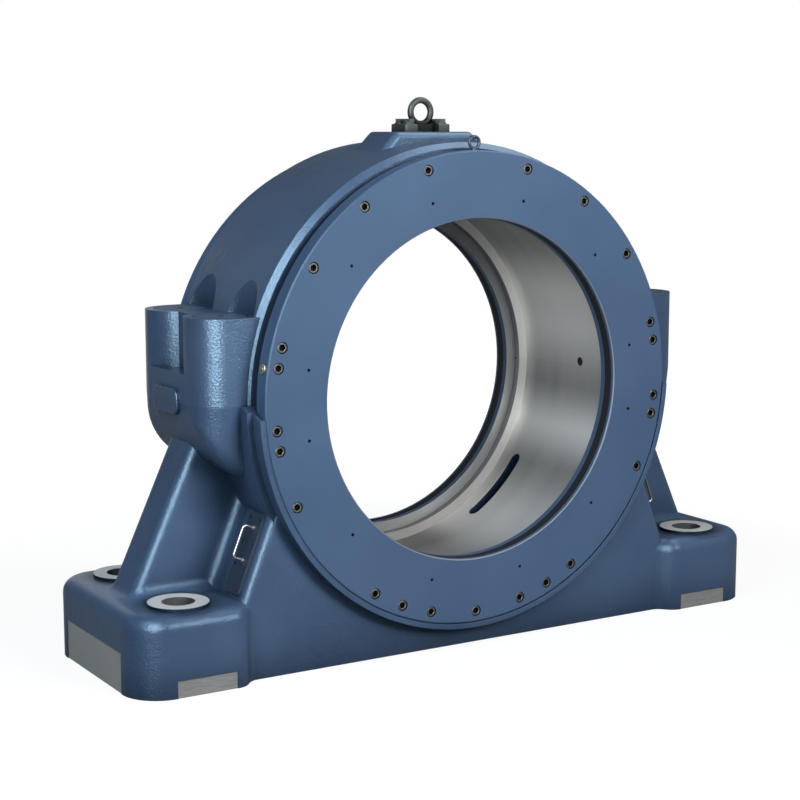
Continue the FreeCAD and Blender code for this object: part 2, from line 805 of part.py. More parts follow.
def hatch_gasket():
    ring = rounded_plate(hatch_length, hatch_width, hatch_gasket_thickness, hatch_corner)
    opening = rounded_plate(hatch_opening_length, hatch_opening_width, hatch_gasket_thickness,
                            hatch_opening_corner)
    return ring.cut(opening)


def hatch_cover():
    plate = rounded_plate(hatch_length, hatch_width, hatch_thickness, hatch_corner)
    rim = [e for e in plate.Edges if min(v.Z for v in e.Vertexes) > hatch_thickness - 0.1]
    plate = plate.makeFillet(hatch_edge_radius, rim)
    plate.translate(V(0, 0, hatch_gasket_thickness))
    return plate


def hatch_handle():
    # Bent round bar with a collar at each foot.
    r = handle_bend_radius
    x = handle_length / 2
    z = handle_standoff
    diag = r * (1 - math.sqrt(0.5))
    path = Part.Wire([
        Part.LineSegment(V(-x, 0, 0), V(-x, 0, z - r)).toShape(),
        Part.Arc(V(-x, 0, z - r), V(-x + diag, 0, z - diag), V(-x + r, 0, z)).toShape(),
        Part.LineSegment(V(-x + r, 0, z), V(x - r, 0, z)).toShape(),
        Part.Arc(V(x - r, 0, z), V(x - diag, 0, z - diag), V(x, 0, z - r)).toShape(),
        Part.LineSegment(V(x, 0, z - r), V(x, 0, 0)).toShape(),
    ])
    section = Part.Wire(Part.makeCircle(handle_bar_radius, V(-x, 0, 0), Z_AXIS))
    bar = path.makePipeShell([section], True, False)
    feet = [upright(handle_foot_radius, s * x, 0, 0, handle_foot_height) for s in (-1, 1)]
    handle = bar.fuse(feet).removeSplitter()
    handle.translate(V(handle_offset_up, -handle_offset_out, hatch_gasket_thickness + hatch_thickness))
    return one_solid(handle)


def save(name, shape):
    shape.exportStep("parts/" + name + ".step")


os.makedirs("parts", exist_ok=True)
save("housing_base", housing_base())
save("housing_cap", housing_cap())
for name, side in (("front", -1), ("rear", 1)):
    save(name + "_cover", cover(side))
    save(name + "_cover_gasket", gasket(side))
    save(name + "_cover_screws", cover_screws(side))
    save(name + "_cover_eyebolt", cover_eyebolt(side))
    save(name + "_shaft_seal", shaft_seal(side))
    save(name + "_grease_plug", grease_plug(side))
corner_names = ("left_front", "left_rear", "right_front", "right_rear")
for name, (x, y) in zip(corner_names, tower_axes()):
    save("cap_bolt_" + name, cap_bolt(x, y))
    save("cap_washer_" + name, cap_washer(x, y))
    save("bolt_plug_" + name, bolt_plug(x, y))
for name, pin in zip(("left", "right"), dowels()):
    save("dowel_" + name, pin)
save("lifting_eye", lifting_eye())
save("lifting_eye_washers", lug_washers())
save("lifting_eye_bolts", lug_bolts())
for part_name, part in (("hatch_gasket", hatch_gasket()), ("hatch_cover", hatch_cover()),
                        ("hatch_handle", hatch_handle())):
    for name, placed in zip(corner_names, four_ways(on_wall(part))):
        save(part_name + "_" + name, placed)
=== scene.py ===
import math

import bmesh
import bpy
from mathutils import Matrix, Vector


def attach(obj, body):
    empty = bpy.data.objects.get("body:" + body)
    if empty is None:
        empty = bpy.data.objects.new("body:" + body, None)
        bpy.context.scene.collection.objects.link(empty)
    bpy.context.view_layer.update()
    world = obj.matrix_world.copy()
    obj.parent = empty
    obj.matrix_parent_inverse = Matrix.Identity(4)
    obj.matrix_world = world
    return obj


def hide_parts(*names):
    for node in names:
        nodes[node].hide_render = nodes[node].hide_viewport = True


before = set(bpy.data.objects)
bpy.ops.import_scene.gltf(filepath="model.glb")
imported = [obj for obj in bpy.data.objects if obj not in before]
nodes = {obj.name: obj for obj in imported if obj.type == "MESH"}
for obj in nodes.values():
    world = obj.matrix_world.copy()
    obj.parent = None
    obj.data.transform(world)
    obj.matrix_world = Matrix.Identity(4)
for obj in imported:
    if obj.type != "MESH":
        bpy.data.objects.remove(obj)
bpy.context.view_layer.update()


# Housing: cap and base
# Two iron castings, shot-blasted and sprayed with semi-gloss blue paint. The seat, the faces round
# the foot bolts and the aligning flats are machined after painting and stay bare.
bore_height = 0.965
seat_radius, seat_reach = 0.710, 0.3185
shoulder_radius, shoulder_face = 0.671, 0.292
stop_hole_y, stop_hole_z = -0.076, 0.989
stop_hole_half, stop_hole_depth = 0.019, 0.064
foot_bolt_x, foot_bolt_y, foot_hole_radius = 1.140, 0.245, 0.0593
spot_face_radius, spot_face_height = 0.1083, 0.296
side_flat_y, side_flat_start, side_flat_end, side_flat_height = 0.397, 0.9895, 1.2165, 0.0613
end_flat_x, end_flat_half, end_flat_height = 1.357, 0.249, 0.1463
# Painted shade round the foot-bolt faces: inner and outer radius, lowest height and strength.
bolt_shade_start, bolt_shade_reach, bolt_shade_low, bolt_shade_depth = 0.108, 0.175, 0.270, 0.62
edge = 0.0004
white = (1.0, 1.0, 1.0, 1)
front_blue = (0.080, 0.134, 0.240, 1)
deep_blue = (0.062, 0.104, 0.190, 1)
speck_blue = (0.20, 0.29, 0.43, 1)
paint_sheen = (0.56, 0.82, 1.0, 1)
# Sectors of the seat painted bright as a painted reflection: start, end and softness, in radians
# from the crown.
seat_sheen_sectors = ((0.95, 1.50, 0.20), (1.80, 2.05, 0.13), (2.35, 2.80, 0.20))


def value(tree, socket, source):
    if isinstance(source, bpy.types.NodeSocket):
        tree.links.new(source, socket)
    else:
        socket.default_value = source


def calc(tree, operation, a, b=0.0, c=0.0):
    node = tree.nodes.new("ShaderNodeMath")
    node.operation = operation
    for socket, source in zip(node.inputs, (a, b, c)):
        value(tree, socket, source)
    return node.outputs[0]


def product(tree, *masks):
    share = masks[0]
    for mask in masks[1:]:
        share = calc(tree, "MULTIPLY", share, mask)
    return share


def largest(tree, *masks):
    share = masks[0]
    for mask in masks[1:]:
        share = calc(tree, "MAXIMUM", share, mask)
    return share


def diagonal(tree, a, b):
    squares = calc(tree, "ADD", calc(tree, "MULTIPLY", a, a), calc(tree, "MULTIPLY", b, b))
    return calc(tree, "SQRT", squares)


def span(tree, source, start, end, low=0.0, high=1.0):
    node = tree.nodes.new("ShaderNodeMapRange")
    node.interpolation_type = "SMOOTHSTEP"
    for socket, given in zip(node.inputs, (source, start, end, low, high)):
        value(tree, socket, given)
    return node.outputs[0]


def within(tree, source, low, high, soft=edge):
    above = span(tree, source, low - soft, low + soft)
    below = span(tree, source, high + soft, high - soft)
    return calc(tree, "MULTIPLY", above, below)


def around(tree, source, centre, half):
    return within(tree, source, centre - half, centre + half)


def inside(tree, source, limit, start=0.0012, end=0.0008):
    # 1 where the source is below the limit, with the soft edge just outside it.
    return span(tree, source, limit + start, limit + end)


def blend_colours(tree, share, a, b, kind="MIX"):
    node = tree.nodes.new("ShaderNodeMix")
    node.data_type, node.blend_type = "RGBA", kind
    value(tree, node.inputs["Factor"], share)
    value(tree, node.inputs[6], a)
    value(tree, node.inputs[7], b)
    return node.outputs[2]


def noise(tree, place, scale, detail=2.0, roughness=0.5):
    node = tree.nodes.new("ShaderNodeTexNoise")
    value(tree, node.inputs["Vector"], place)
    value(tree, node.inputs["Scale"], scale)
    node.inputs["Detail"].default_value = detail
    node.inputs["Roughness"].default_value = roughness
    return node.outputs["Fac"]


def stretched(tree, place, x, y, z):
    node = tree.nodes.new("ShaderNodeMapping")
    value(tree, node.inputs["Vector"], place)
    node.inputs["Scale"].default_value = (x, y, z)
    return node.outputs["Vector"]


def bump(tree, height, strength, distance, under=None):
    node = tree.nodes.new("ShaderNodeBump")
    value(tree, node.inputs["Height"], height)
    node.inputs["Strength"].default_value = strength
    node.inputs["Distance"].default_value = distance
    if under is not None:
        tree.links.new(under, node.inputs["Normal"])
    return node.outputs["Normal"]


def axes_of(tree, place):
    node = tree.nodes.new("ShaderNodeSeparateXYZ")
    tree.links.new(place, node.inputs[0])
    return node.outputs["X"], node.outputs["Y"], node.outputs["Z"]


def new_group(name, inputs, outputs):
    tree = bpy.data.node_groups.new(name, "ShaderNodeTree")
    for label, kind, start in inputs:
        socket = tree.interface.new_socket(label, in_out="INPUT", socket_type="NodeSocket" + kind)
        if start is not None:
            socket.default_value = start
    for label, kind in outputs:
        tree.interface.new_socket(label, in_out="OUTPUT", socket_type="NodeSocket" + kind)
    given = tree.nodes.new("NodeGroupInput").outputs
    return tree, given, tree.nodes.new("NodeGroupOutput").inputs


def use_group(tree, group, **given):
    node = tree.nodes.new("ShaderNodeGroup")
    node.node_tree = group
    for label, source in given.items():
        value(tree, node.inputs[label], source)
    return node.outputs


def new_finish(name):
    material = bpy.data.materials.new(name)
    material.use_nodes = True
    tree = material.node_tree
    place = tree.nodes.new("ShaderNodeTexCoord").outputs["Object"]
    return material, tree, place


def coat(material, settings):
    # Sets or links the named sockets of the material's own Principled BSDF.
    tree = material.node_tree
    for label, source in settings.items():
        value(tree, tree.nodes["Principled BSDF"].inputs[label], source)
    return material


# Painted shade: a factor from the ambient-occlusion node, low in creases and recesses, that darkens
# what it multiplies.
def crease_shade(tree, reach, darkest):
    node = tree.nodes.new("ShaderNodeAmbientOcclusion")
    node.samples = 6
    node.inputs["Distance"].default_value = reach
    return span(tree, node.outputs["AO"], 0.35, 0.90, darkest, 1.0)


def give_finish(piece, material):
    piece.data.materials.clear()
    piece.data.materials.append(material)


def add_object(name, data):
    made = bpy.data.objects.new(name, data)
    bpy.context.scene.collection.objects.link(made)
    return made


# Pebbled skin of a sprayed sand casting, with broad uneven patches in the paint.
cast_skin, given, out = new_group(
    "cast_skin",
    [("Place", "Vector", None), ("Pebble", "Float", 130.0), ("Patch", "Float", 2.2)],
    [("Height", "Float"), ("Patches", "Float"), ("Specks", "Float")])
pebbles = noise(cast_skin, given["Place"], given["Pebble"], 3.0)
grit = noise(cast_skin, given["Place"], 420.0)
lumps = noise(cast_skin, given["Place"], 24.0)
patches = noise(cast_skin, given["Place"], given["Patch"], 3.0)
height = calc(cast_skin, "MULTIPLY_ADD", grit, 0.22, pebbles)
cast_skin.links.new(calc(cast_skin, "MULTIPLY_ADD", lumps, 0.7, height), out["Height"])
cast_skin.links.new(span(cast_skin, patches, 0.3, 0.7), out["Patches"])
cast_skin.links.new(span(cast_skin, pebbles, 0.56, 0.7), out["Specks"])

# Marks that a lathe or boring bar leaves: fine rings about the bore axis and feed lines along it.
tool_marks, given, out = new_group(
    "tool_marks",
    [("Place", "Vector", None), ("Pitch", "Float", 900.0)],
    [("Radius", "Float"), ("Turn", "Float"), ("Height", "Float"), ("Streaks", "Float")])
across, along, up = axes_of(tool_marks, given["Place"])
rise = calc(tool_marks, "SUBTRACT", up, bore_height)
radius = diagonal(tool_marks, across, rise)
turn = calc(tool_marks, "ARCTAN2", across, rise)
ring_place = tool_marks.nodes.new("ShaderNodeCombineXYZ")
tool_marks.links.new(radius, ring_place.inputs[0])
tool_marks.links.new(along, ring_place.inputs[1])
tool_marks.links.new(calc(tool_marks, "MULTIPLY", turn, 0.004), ring_place.inputs[2])
bands = noise(tool_marks, stretched(tool_marks, ring_place.outputs[0], 12.0, 12.0, 40.0), 1.0)
tool_marks.links.new(radius, out["Radius"])
tool_marks.links.new(calc(tool_marks, "ABSOLUTE", turn), out["Turn"])
tool_marks.links.new(noise(tool_marks, ring_place.outputs[0], given["Pitch"]), out["Height"])
tool_marks.links.new(span(tool_marks, bands, 0.3, 0.7), out["Streaks"])


def make_housing_finish():
    material, tree, place = new_finish("cast_blue_paint")
    skin = use_group(tree, cast_skin, Place=place)
    marks = use_group(tree, tool_marks, Place=place, Pitch=700.0)
    x, y, up = axes_of(tree, place)
    side, depth = calc(tree, "ABSOLUTE", x), calc(tree, "ABSOLUTE", y)

    # Where the iron is bare.
    seat = product(tree, inside(tree, marks["Radius"], seat_radius),
                   span(tree, depth, seat_reach + edge, seat_reach))
    from_bolt = diagonal(tree, calc(tree, "SUBTRACT", side, foot_bolt_x),
                         calc(tree, "SUBTRACT", depth, foot_bolt_y))
    spot = product(tree, span(tree, from_bolt, spot_face_radius, spot_face_radius - 0.0008),
                   around(tree, up, spot_face_height, 0.0005))
    hole = product(tree, span(tree, from_bolt, foot_hole_radius + 0.0006, foot_hole_radius),
                   span(tree, up, spot_face_height + 0.0010, spot_face_height + edge))
    flat_side = product(tree, around(tree, depth, side_flat_y, edge),
                        within(tree, side, side_flat_start, side_flat_end),
                        span(tree, up, side_flat_height + 0.0002, side_flat_height - 0.0002))
    flat_end = product(tree, around(tree, side, end_flat_x, edge),
                       span(tree, depth, end_flat_half + 0.0005, end_flat_half),
                       span(tree, up, end_flat_height + 0.0002, end_flat_height - 0.0002))
    under = span(tree, up, 0.0006, 0.0002)
    stop = product(tree, around(tree, y, stop_hole_y, stop_hole_half),
                   around(tree, up, stop_hole_z, stop_hole_half),
                   within(tree, marks["Radius"], seat_radius + 0.001, seat_radius + stop_hole_depth))
    hole = largest(tree, hole, stop)
    milled = largest(tree, flat_side, flat_end)
    metal = largest(tree, seat, spot, hole, under, milled)

    # Paint, with painted shade: darker in creases, from the ambient-occlusion node, and on the foot
    # tops round the bolt faces.
    paint = blend_colours(tree, skin["Patches"], deep_blue, front_blue)
    paint = blend_colours(tree, calc(tree, "MULTIPLY", skin["Specks"], 0.10), paint, speck_blue)
    # Painted shade: a dark ring on the foot top round each bolt face.
    bolt_face_shade = product(tree, span(tree, from_bolt, bolt_shade_reach, bolt_shade_start),
                   within(tree, up, bolt_shade_low, spot_face_height + 0.0005))
    crease_and_bolt_shade = product(tree, crease_shade(tree, reach=0.24, darkest=0.34),
                     calc(tree, "MULTIPLY_ADD", bolt_face_shade, -bolt_shade_depth, 1.0))
    paint = blend_colours(tree, 1.0, paint, crease_and_bolt_shade, "MULTIPLY")

    # Turned and milled iron.
    turned = blend_colours(tree, marks["Streaks"], (0.32, 0.315, 0.305, 1), (0.40, 0.39, 0.375, 1))
    # Painted reflection: the seat is lighter in these sectors round the bore.
    seat_sheen = largest(tree, *[within(tree, marks["Turn"], *sector) for sector in seat_sheen_sectors])
    turned = blend_colours(tree, calc(tree, "MULTIPLY", seat_sheen, 0.88), turned, (0.99, 0.97, 0.94, 1))
    # Painted shade: darker at the bottom of the seat towards the rear.
    seat_shade = product(tree, span(tree, marks["Turn"], 2.72, 2.95), span(tree, y, 0.05, 0.16))
    turned = blend_colours(tree, calc(tree, "MULTIPLY", seat_shade, 0.75), turned, (0.20, 0.195, 0.19, 1))
    scuffs = span(tree, noise(tree, stretched(tree, place, 3.0, 3.0, 60.0), 8.0, 3.0), 0.35, 0.65)
    milled_iron = blend_colours(tree, scuffs, (0.27, 0.265, 0.26, 1), (0.35, 0.345, 0.34, 1))
    shoulder = product(tree, seat, around(tree, depth, shoulder_face, 0.0005))
    # Painted light and shade: the shoulder face is bright near the crown and darker lower down.
    shoulder_light_and_shade = blend_colours(tree, span(tree, marks["Turn"], 1.8, 2.6),
                                  (0.76, 0.74, 0.71, 1), (0.36, 0.35, 0.34, 1))
    behind = product(tree, seat, inside(tree, marks["Radius"], shoulder_radius))
    iron = turned
    # The dark tone in the bolt holes and the stop hole is painted shade inside them.
    for mask, tone in ((milled, milled_iron), (hole, (0.11, 0.11, 0.115, 1)), (shoulder, shoulder_light_and_shade),
                       (behind, (0.22, 0.22, 0.22, 1)), (spot, (0.80, 0.78, 0.75, 1)),
                       (flat_end, (0.46, 0.45, 0.43, 1))):
        iron = blend_colours(tree, mask, iron, tone)

    gleam = calc(tree, "MULTIPLY", product(tree, seat, calc(tree, "SUBTRACT", 1.0, shoulder)), 0.42)
    gloss = span(tree, up, bore_height - edge, bore_height + edge, 0.55, 0.95)
    rough = tree.nodes.new("ShaderNodeMix")
    value(tree, rough.inputs[0], metal)
    value(tree, rough.inputs[2], calc(tree, "MULTIPLY_ADD", skin["Patches"], 0.07, 0.27))
    value(tree, rough.inputs[3], calc(tree, "MULTIPLY_ADD", marks["Streaks"], 0.08, 0.42))
    edges = tree.nodes.new("ShaderNodeBevel")
    edges.samples = 4
    edges.inputs["Radius"].default_value = 0.004
    skin_height = product(tree, skin["Height"], calc(tree, "SUBTRACT", 1.0, metal))
    pebbled = bump(tree, skin_height, strength=0.54, distance=0.0026, under=edges.outputs["Normal"])
    ring_height = product(tree, marks["Height"], metal)
    return coat(material, {
        "Base Color": blend_colours(tree, metal, paint, iron),
        "Metallic": product(tree, metal, calc(tree, "ADD", gleam, 0.12)),
        "Specular IOR Level": product(tree, crease_and_bolt_shade, gloss),
        "Specular Tint": blend_colours(tree, metal, paint_sheen, white),
        "Roughness": rough.outputs[0],
        "Normal": bump(tree, ring_height, strength=0.25, distance=0.0004, under=pebbled)})


cast_blue_paint = make_housing_finish()
for name in ("housing_base", "housing_cap"):
    give_finish(nodes[name], cast_blue_paint)


# End covers
# Steel rings turned all over, then sprayed blue. Their tapped holes and screw counterbores are
# drilled after painting; their insides are coloured near black as painted shade.
small_hole_ring, small_hole_radius = 0.713, 0.0062
screw_ring, counterbore_radius = 0.830, 0.0207
cover_face, cover_back, cover_bore_radius = 0.398, 0.320, 0.628


def make_cover_finish():
    material, tree, place = new_finish("turned_blue_paint")
    skin = use_group(tree, cast_skin, Place=place, Pebble=260.0, Patch=3.0)
    marks = use_group(tree, tool_marks, Place=place, Pitch=500.0)
    depth = calc(tree, "ABSOLUTE", axes_of(tree, place)[1])
    radius = marks["Radius"]
    in_face = calc(tree, "SUBTRACT", cover_face - 0.0005, depth)
    drilled = product(tree, around(tree, radius, small_hole_ring, small_hole_radius),
                      span(tree, in_face, 0.0, 0.001))
    bored = product(tree, around(tree, radius, screw_ring, counterbore_radius),
                    span(tree, in_face, 0.0006, 0.0014))
    inner = product(tree, span(tree, depth, cover_back + 0.0006, cover_back + 0.0002),
                    inside(tree, radius, shoulder_radius))
    rubbed = product(tree, inside(tree, radius, cover_bore_radius, 0.0048, 0.0040),
                     within(tree, depth, cover_face - 0.0030, cover_face - edge))
    colour = blend_colours(tree, skin["Patches"], (0.076, 0.128, 0.232, 1), (0.084, 0.140, 0.252, 1))
    # Painted shade: near black inside the tapped holes and the counterbores.
    for mask, tone in ((largest(tree, drilled, bored), (0.022, 0.026, 0.034, 1)),
                       (rubbed, (0.36, 0.35, 0.34, 1)), (inner, (0.30, 0.30, 0.30, 1))):
        colour = blend_colours(tree, mask, colour, tone)
    sprayed = bump(tree, skin["Height"], strength=0.12, distance=0.0008)
    return coat(material, {
        "Base Color": colour,
        "Metallic": calc(tree, "MULTIPLY", inner, 0.6),
        "Roughness": calc(tree, "MULTIPLY_ADD", skin["Patches"], 0.06, 0.46),
        "Specular IOR Level": 0.4,
        "Specular Tint": paint_sheen,
        "Normal": bump(tree, marks["Height"], strength=0.10, distance=0.0004, under=sprayed)})


turned_blue_paint = make_cover_finish()
for name in ("front_cover", "rear_cover"):
    give_finish(nodes[name], turned_blue_paint)


# Cover gaskets and hatch gaskets
# Thin sheets of dark fibre-reinforced rubber, cut to shape and squeezed between the painted faces.
def make_gasket_finish():
    material, tree, place = new_finish("gasket_sheet")
    fibres = noise(tree, place, 300.0, 4.0, 0.7)
    return coat(material, {
        "Base Color": blend_colours(tree, fibres, (0.018, 0.020, 0.023, 1), (0.036, 0.038, 0.042, 1)),
        "Roughness": 0.8,
        "Normal": bump(tree, fibres, strength=0.3, distance=0.0005)})


gasket_sheet = make_gasket_finish()
for name in nodes:
    if "gasket" in name:
        give_finish(nodes[name], gasket_sheet)


# Shaft seals
# Black rubber rings pressed into the bore of each cover, with fine moulding rings round them.
def make_seal_finish():
    material, tree, place = new_finish("seal_rubber")
    marks = use_group(tree, tool_marks, Place=place, Pitch=260.0)
    bloom = noise(tree, place, 14.0, 3.0)
    return coat(material, {
        "Base Color": blend_colours(tree, bloom, (0.010, 0.012, 0.017, 1), (0.022, 0.026, 0.034, 1)),
        "Roughness": calc(tree, "MULTIPLY_ADD", bloom, 0.15, 0.55),
        "Specular IOR Level": 0.2,
        "Normal": bump(tree, marks["Height"], strength=0.2, distance=0.0006)})


seal_rubber = make_seal_finish()
for name in ("front_shaft_seal", "rear_shaft_seal"):
    give_finish(nodes[name], seal_rubber)


# Cover screws
# M24 socket-head screws, black-oxide steel, sunk flush in the covers' counterbores. The rims of
# the heads are rubbed bright by the wrench; no two sockets point the same way.
screw_angles = (15.0, 35.0, 55.0, 75.5, 80.5, 95.5, 100.5, 115.3, 148.3, 157.2, 166.2)
head_radius, head_depth, head_edge, head_sunk = 0.018, 0.020, 0.0022, 0.002
socket_flats, socket_depth = 0.0215, 0.014
sixth_turn = math.pi / 3


def make_screw_finish(name, dark, light):
    material, tree, place = new_finish(name)
    rubbed = noise(tree, place, 160.0, 3.0)
    shine = span(tree, rubbed, 0.35, 0.65)
    return coat(material, {
        "Base Color": blend_colours(tree, shine, dark, light),
        "Metallic": 0.7,
        "Roughness": calc(tree, "MULTIPLY_ADD", shine, -0.12, 0.5),
        "Normal": bump(tree, rubbed, strength=0.2, distance=0.0004)})


def make_socket_finish():
    # Painted shadow: near black for the inside of the hexagon sockets, mottled a little.
    material, tree, place = new_finish("socket_shadow")
    shadow_mottle = noise(tree, place, 90.0)
    return coat(material, {
        "Base Color": blend_colours(tree, shadow_mottle, (0.004, 0.004, 0.005, 1), (0.010, 0.010, 0.011, 1)),
        "Roughness": calc(tree, "MULTIPLY_ADD", shadow_mottle, 0.2, 0.5),
        "Specular IOR Level": 0.1})


def socket_head(name, radius, flats, deep, tall, bevel, corners=30):
    # Drawn with its top face at z = 0 and its axis along z; the hexagon socket is open upwards.
    mesh = bpy.data.meshes.new(name)
    work = bmesh.new()
    turns = [2 * math.pi * i / corners for i in range(corners)]
    hex_reach = flats / 2 / math.cos(sixth_turn / 2)

    def ring(reach, z):
        return [work.verts.new((r * math.cos(a), r * math.sin(a), z)) for a, r in zip(turns, reach)]

    def circle(r, z):
        return ring([r] * corners, z)

    def hexagon(reach, z):
        return ring([reach * math.cos(sixth_turn / 2) / math.cos(a % sixth_turn - sixth_turn / 2)
                     for a in turns], z)

    rows = [circle(radius, -tall), circle(radius, -bevel), circle(radius - bevel * 0.35, -bevel * 0.3),
            circle(radius - bevel, 0), hexagon(hex_reach + bevel * 0.5, 0),
            hexagon(hex_reach, -bevel * 0.5), hexagon(hex_reach, -deep)]
    top_face, socket_wall = 3, 5
    for row, (low, high) in enumerate(zip(rows, rows[1:])):
        for i in range(corners):
            j = (i + 1) % corners
            face = work.faces.new((low[i], low[j], high[j], high[i]))
            face.smooth = row not in (top_face, socket_wall)
            face.material_index = 1 if row == socket_wall else 0
    floor = work.faces.new(rows[-1])
    floor.material_index = 1
    work.faces.new(list(reversed(rows[0])))
    work.to_mesh(mesh)
    work.free()
    return mesh


def scatter_tree(name):
    # Puts one screw on every point, pointing the way that the point says, each turned by chance.
    tree = bpy.data.node_groups.new(name, "GeometryNodeTree")
    tree.interface.new_socket("Geometry", in_out="INPUT", socket_type="NodeSocketGeometry")
    inputs = (("Screw", "Object"), ("Screw Size", "Float"), ("Facing", "Rotation"), ("Seed", "Int"),
              ("Finish", "Material"))
    for label, kind in inputs:
        tree.interface.new_socket(label, in_out="INPUT", socket_type="NodeSocket" + kind)
    tree.interface.new_socket("Geometry", in_out="OUTPUT", socket_type="NodeSocketGeometry")
    start = tree.nodes.new("NodeGroupInput")
    shape = tree.nodes.new("GeometryNodeObjectInfo")
    tree.links.new(start.outputs["Screw"], shape.inputs["Object"])
    chance = tree.nodes.new("FunctionNodeRandomValue")
    chance.data_type = "FLOAT"
    chance.inputs[3].default_value = 2 * math.pi
    tree.links.new(start.outputs["Seed"], chance.inputs["Seed"])
    spin = tree.nodes.new("ShaderNodeCombineXYZ")
    tree.links.new(chance.outputs[1], spin.inputs["Z"])
    to_turn = tree.nodes.new("FunctionNodeEulerToRotation")
    tree.links.new(spin.outputs[0], to_turn.inputs[0])
    turn_first = tree.nodes.new("FunctionNodeRotateRotation")
    turn_first.rotation_space = "LOCAL"
    tree.links.new(start.outputs["Facing"], turn_first.inputs[0])
    tree.links.new(to_turn.outputs[0], turn_first.inputs[1])
    place = tree.nodes.new("GeometryNodeInstanceOnPoints")
    tree.links.new(start.outputs["Geometry"], place.inputs["Points"])
    tree.links.new(shape.outputs["Geometry"], place.inputs["Instance"])
    tree.links.new(turn_first.outputs[0], place.inputs["Rotation"])
    tree.links.new(start.outputs["Screw Size"], place.inputs["Scale"])
    real = tree.nodes.new("GeometryNodeRealizeInstances")
    tree.links.new(place.outputs[0], real.inputs[0])
    paint = tree.nodes.new("GeometryNodeSetMaterial")
    tree.links.new(real.outputs[0], paint.inputs["Geometry"])
    tree.links.new(start.outputs["Finish"], paint.inputs["Material"])
    tree.links.new(paint.outputs[0], tree.nodes.new("NodeGroupOutput").inputs["Geometry"])
    return tree


def grow(name, points, tree, pattern, facing, seed, finish):
    # Runs the tree on bare points and keeps the result as a plain mesh.
    given = {"Screw": pattern, "Screw Size": 1.0, "Facing": facing, "Seed": seed, "Finish": finish}
    seed_mesh = bpy.data.meshes.new(name + "_points")
    seed_mesh.from_pydata(points, [], [])
    carrier = add_object(name + "_carrier", seed_mesh)
    modifier = carrier.modifiers.new("grow", "NODES")
    modifier.node_group = tree
    for item in tree.interface.items_tree:
        if item.in_out == "INPUT" and item.name in given:
            modifier[item.identifier] = given[item.name]
    made = bpy.data.meshes.new_from_object(carrier.evaluated_get(bpy.context.evaluated_depsgraph_get()))
    carrier.modifiers.remove(modifier)
    bpy.data.objects.remove(carrier)
    piece = add_object(name, made)
    give_finish(piece, finish)
    return piece


def darken_sockets(mesh, points, side):
    # The walls and floor of each socket take the mesh's second material, the painted socket shadow.
    centres = [Vector((p[0], p[2])) for p in points]
    for face in mesh.polygons:
        corners = [mesh.vertices[v].co for v in face.vertices]
        below = all(side * c.y < cover_face - head_sunk - 0.0006 for c in corners)
        middle = Vector((face.center.x, face.center.z))
        nearest = min(centres, key=lambda centre: (centre - middle).length)
        reach = max((Vector((c.x, c.z)) - nearest).length for c in corners)
        face.material_index = 1 if below and reach < head_radius * 0.7 else 0


dark_steel = make_screw_finish("black_oxide_steel", (0.12, 0.12, 0.11, 1), (0.20, 0.197, 0.18, 1))
socket_shadow = make_socket_finish()
screw_tree = scatter_tree("screws_on_points")
screw_pattern = add_object("cover_screw_pattern", socket_head(
    "cover_screw_pattern", head_radius, socket_flats, socket_depth, head_depth, head_edge))
all_angles = [math.radians(a) for a in [-a for a in screw_angles] + list(screw_angles) + [180.0]]
for name, side, seed in (("front", -1, 3), ("rear", 1, 8)):
    points = [(screw_ring * math.sin(a), side * (cover_face - head_sunk),
               bore_height + screw_ring * math.cos(a)) for a in all_angles]
    facing = Vector((0, side, 0)).to_track_quat("Z", "X").to_euler()
    screws = grow(name + "_screw_heads", points, screw_tree, screw_pattern, facing, seed, dark_steel)
    screws.data.materials.append(socket_shadow)
    darken_sockets(screws.data, points, side)
    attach(screws, "root")
    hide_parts(name + "_cover_screws")
bpy.data.objects.remove(screw_pattern)


# Cover eye bolts
# Small forged eye bolts screwed into the top of each cover, in a darker blue enamel.
def make_enamel_finish():
    material, tree, place = new_finish("dark_blue_enamel")
    skin = use_group(tree, cast_skin, Place=place, Pebble=300.0, Patch=20.0)
    enamel = blend_colours(tree, skin["Patches"], (0.030, 0.052, 0.098, 1), (0.048, 0.080, 0.145, 1))
    return coat(material, {
        "Base Color": enamel,
        "Roughness": calc(tree, "MULTIPLY_ADD", skin["Patches"], 0.1, 0.30)})


dark_blue_enamel = make_enamel_finish()
for name in ("front_cover_eyebolt", "rear_cover_eyebolt"):
    give_finish(nodes[name], dark_blue_enamel)


# Grease plugs
# Small brass plugs with a hexagon socket, screwed into the rims of the covers, slightly dulled.
def make_brass_finish():
    material, tree, place = new_finish("dull_brass")
    tarnish = noise(tree, place, 120.0, 3.0)
    return coat(material, {
        "Base Color": blend_colours(tree, tarnish, (0.26, 0.23, 0.15, 1), (0.46, 0.42, 0.30, 1)),
        "Metallic": 0.9,
        "Roughness": calc(tree, "MULTIPLY_ADD", tarnish, 0.2, 0.25)})


dull_brass = make_brass_finish()
for name in ("front_grease_plug", "rear_grease_plug"):
    give_finish(nodes[name], dull_brass)


# Cap bolts, washers, dowels and plug discs
# Heavy socket bolts hidden in the towers, under flush discs that are painted with the casting. The
# seams are dark, and a band along the rim seam and round the small centre hole is painted shadow.
cap_bolt_x, cap_bolt_y = 0.924, 0.164
plug_radius, plug_hole_radius = 0.098, 0.011
seam_shadow_colour = (0.012, 0.016, 0.026, 1)


def make_plain_steel_finish():
    material, tree, place = new_finish("plain_steel")
    grain = noise(tree, place, 80.0, 4.0)
    return coat(material, {
        "Base Color": blend_colours(tree, grain, (0.25, 0.25, 0.25, 1), (0.36, 0.355, 0.35, 1)),
        "Metallic": 0.9,
        "Roughness": calc(tree, "MULTIPLY_ADD", grain, 0.2, 0.35)})


